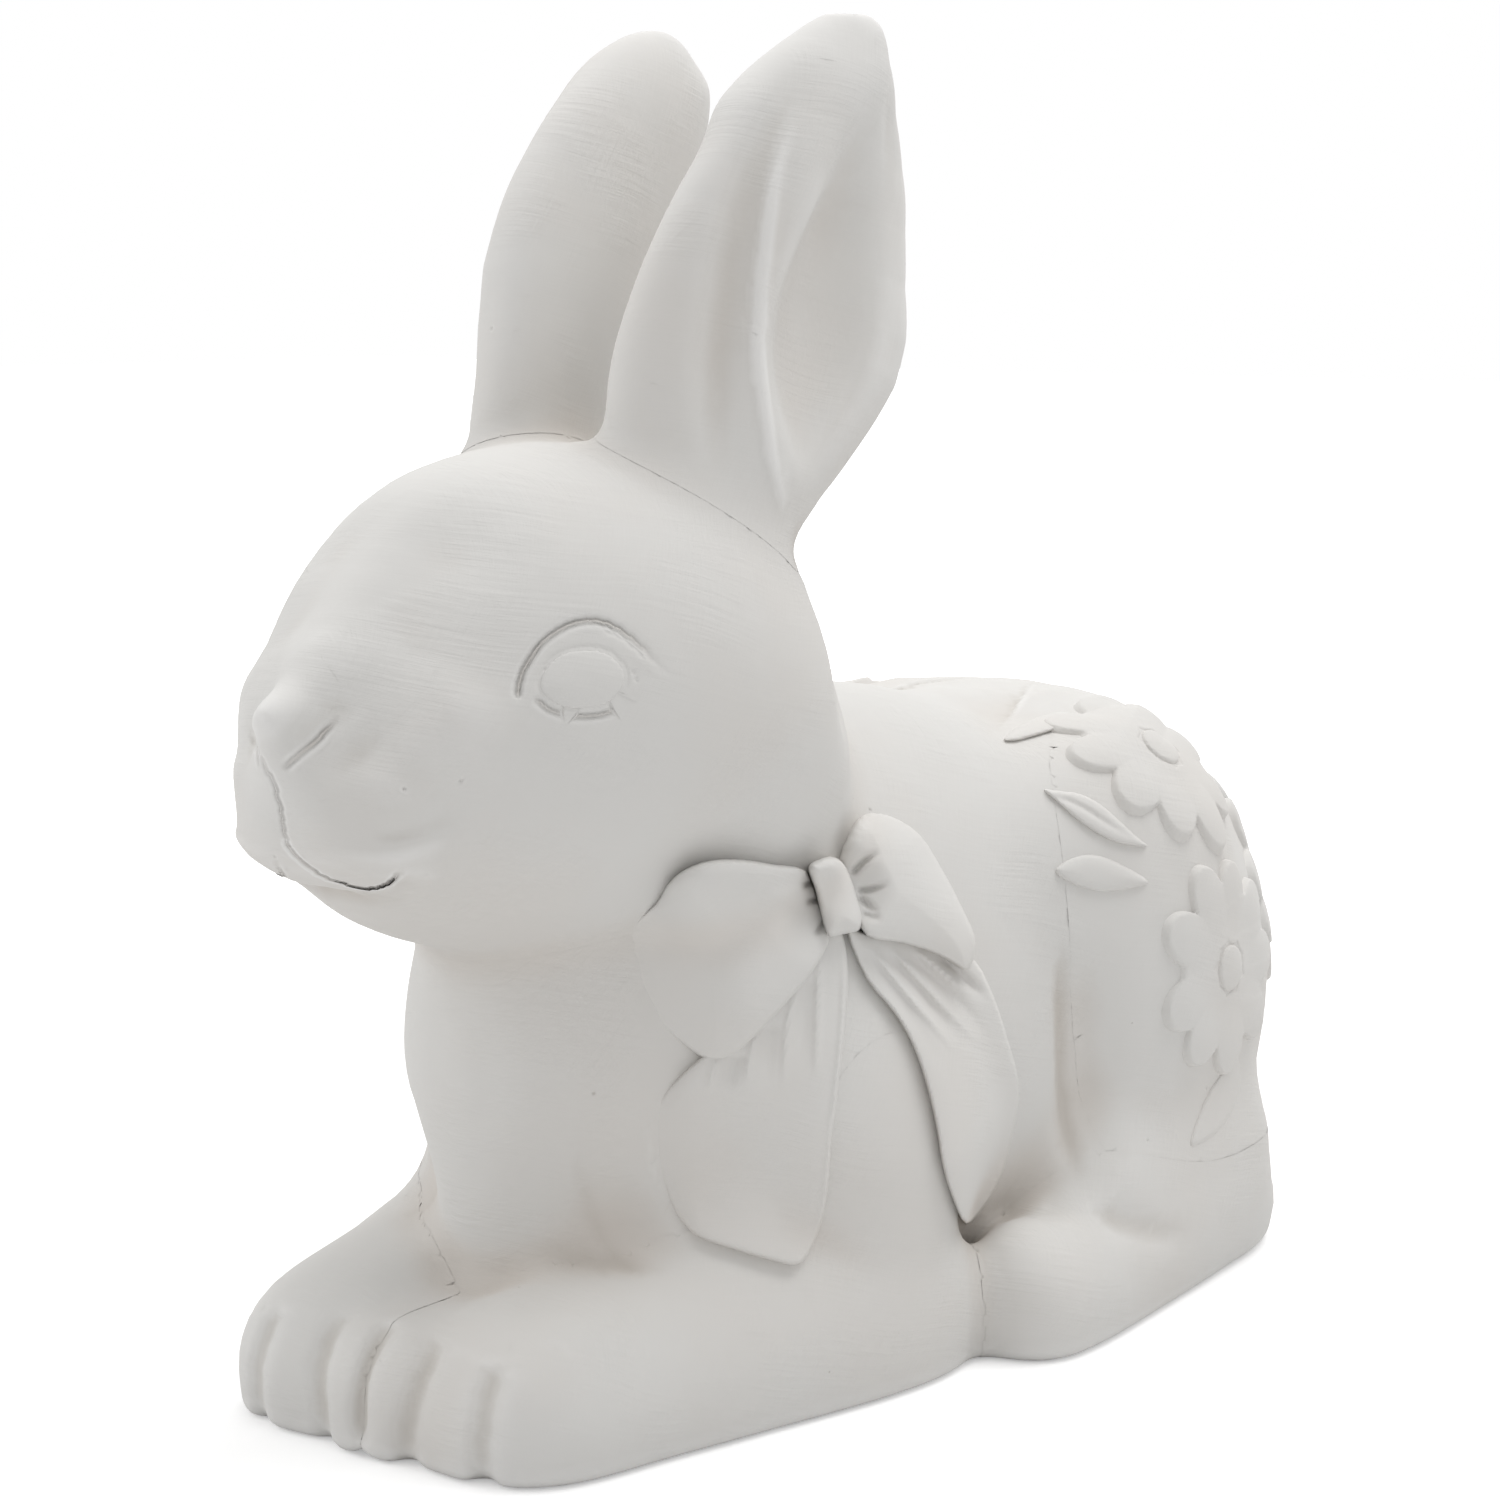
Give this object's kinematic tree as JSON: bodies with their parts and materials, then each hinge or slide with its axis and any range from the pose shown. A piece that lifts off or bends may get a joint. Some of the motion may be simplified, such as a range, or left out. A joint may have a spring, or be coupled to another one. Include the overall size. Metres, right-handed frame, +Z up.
{
  "type": "rabbit figurine",
  "caption": "Lying rabbit figurine of unglazed white ceramic, hollow cast, with upright ears, a bow on one shoulder and daisy sprays on its haunches.",
  "frame": {"origin": "on the ground under the middle of the figurine's box", "axes": "+Z up, the nose points along -Y, the rabbit's left side is +X"},
  "size_m": [0.0832, 0.1624, 0.15],
  "materials": {
    "bisque": "matt, unglazed"
  },
  "bodies": {
    "root": {"head_shell": "bisque", "body_shell": "bisque", "ear_left": "bisque", "ear_right": "bisque", "foreleg_left": "bisque", "foreleg_right": "bisque", "thigh_left": "bisque", "thigh_right": "bisque", "hind_foot_left": "bisque", "hind_foot_right": "bisque", "tail": "bisque", "eye_left": "bisque", "eye_right": "bisque", "bow_knot": "bisque", "bow_loop_front": "bisque", "bow_loop_rear": "bisque", "ribbon_front": "bisque", "ribbon_rear": "bisque", "daisy_side_disc_left": "bisque", "daisy_side_petals_left": "bisque", "daisy_top_disc_left": "bisque", "daisy_top_petals_left": "bisque", "daisy_rear_disc_left": "bisque", "daisy_rear_petals_left": "bisque", "leaf_top_left": "bisque", "leaf_middle_left": "bisque", "leaf_front_left": "bisque", "leaf_low_left": "bisque", "daisy_side_disc_right": "bisque", "daisy_side_petals_right": "bisque", "daisy_top_disc_right": "bisque", "daisy_top_petals_right": "bisque", "daisy_rear_disc_right": "bisque", "daisy_rear_petals_right": "bisque", "leaf_top_right": "bisque", "leaf_middle_right": "bisque", "leaf_front_right": "bisque", "leaf_low_right": "bisque"}
  },
  "joints": []
}
